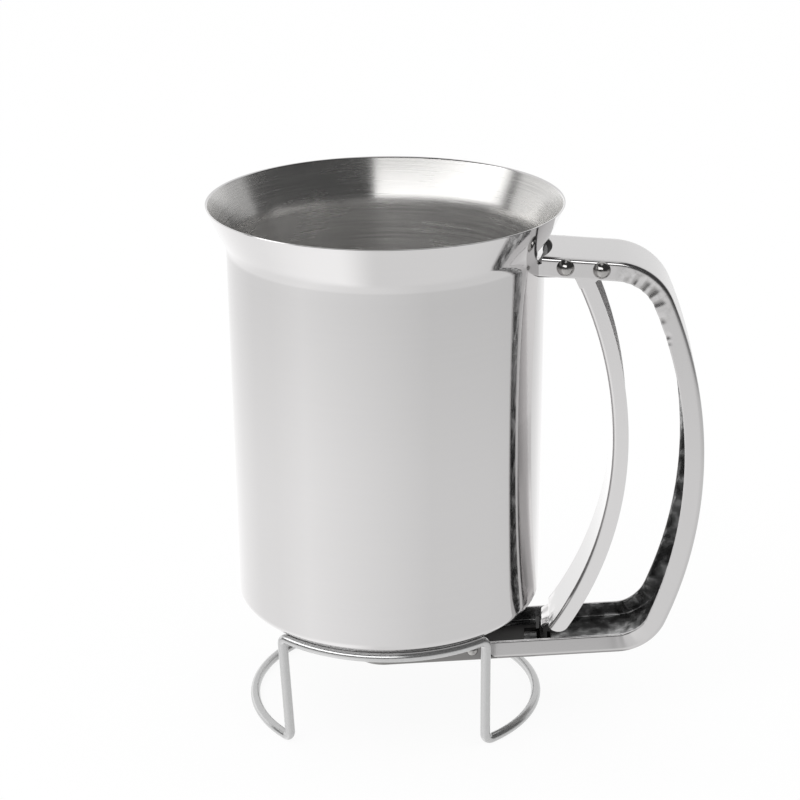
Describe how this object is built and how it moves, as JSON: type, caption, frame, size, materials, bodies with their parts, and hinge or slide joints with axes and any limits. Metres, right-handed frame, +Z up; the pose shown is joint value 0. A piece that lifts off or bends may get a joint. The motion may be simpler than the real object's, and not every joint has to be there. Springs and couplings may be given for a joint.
{
  "type": "batter dispenser",
  "caption": "Flared steel pouring cup with a bowed grip, a squeeze trigger that pulls a slide valve open under the cup, and a bent-wire stand.",
  "frame": {"origin": "on the cup's axis, at table level", "axes": "+Z up along the cup's axis, +X from the axis to the handle"},
  "size_m": [0.1475, 0.105, 0.162],
  "materials": {
    "cup_steel": "mirror polished outside, brushed round inside",
    "handle_steel": "polished sheet, with forming marks in the bends",
    "pressed_steel": "satin pressed sheet",
    "slide_steel": "satin strip, rubbed along its length",
    "rivet_steel": "polished domes",
    "spring_steel": "drawn spring wire",
    "wire_steel": "polished drawn wire"
  },
  "bodies": {
    "stand": {"wire_stand": "wire_steel"},
    "dispenser": {"cup": "cup_steel", "outlet_funnel": "pressed_steel", "outlet_eyelet": "pressed_steel", "valve_trough": "pressed_steel", "trough_cap": "pressed_steel", "trough_rivet": "rivet_steel", "handle_channel": "handle_steel", "cup_bracket": "pressed_steel", "bracket_rivet": "rivet_steel", "trigger_pivot": "rivet_steel", "trigger_spring": "spring_steel"},
    "trigger": {"trigger_lever": "handle_steel"},
    "valve": {"valve_slide": "slide_steel"}
  },
  "joints": [
    {"name": "lift_off", "type": "slide", "parent": "stand", "child": "dispenser", "axis": [0, 0, 1], "range_m": [0, 0.06]},
    {"name": "trigger_squeeze", "type": "hinge", "parent": "dispenser", "child": "trigger", "pos_m": [0.06305, 0, 0.14506], "axis": [0, -1, 0], "range_deg": [0, 7.2], "stiffness_Nm_per_rad": 1.5, "springref_deg": -14.32, "deforming": ["trigger_spring"]},
    {"name": "valve_travel", "type": "slide", "parent": "dispenser", "child": "valve", "axis": [0.9956, 0, 0.0941], "range_m": [0, 0.015]}
  ],
  "couplings": [
    {"joint": "valve_travel", "follows": "trigger_squeeze", "m_per_rad": 0.1178}
  ]
}
